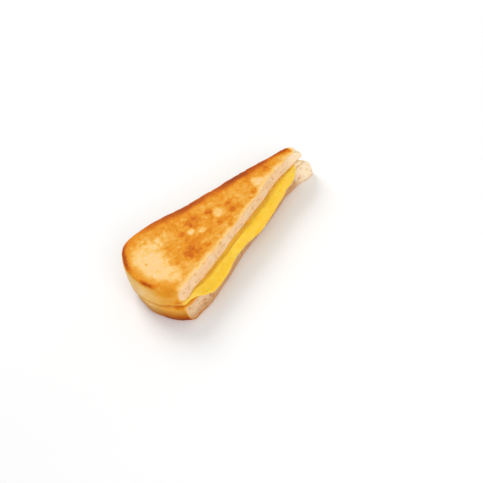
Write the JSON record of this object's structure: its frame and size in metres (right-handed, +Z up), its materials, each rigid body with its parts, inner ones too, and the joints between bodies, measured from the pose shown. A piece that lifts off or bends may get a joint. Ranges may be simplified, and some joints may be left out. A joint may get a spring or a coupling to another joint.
{
  "type": "toasted sandwich",
  "caption": "Half of a toasted cheese sandwich, cut corner to corner: browned slices of bread with melted cheese running out of the long cut.",
  "frame": {"origin": "middle of the bounding box in plan, at the flat underside that the half lies on", "axes": "+X along the knife cut from the broad rounded end to the narrow tip; the cut face looks toward -Y and the crust toward +Y; +Z up through the slices"},
  "size_m": [0.1568, 0.0788, 0.0305],
  "materials": {
    "lower_toast": null,
    "melted_cheese": null,
    "upper_toast": null
  },
  "bodies": {
    "root": {"bread_lower": "lower_toast", "cheese": "melted_cheese", "bread_upper": "upper_toast"}
  },
  "joints": []
}
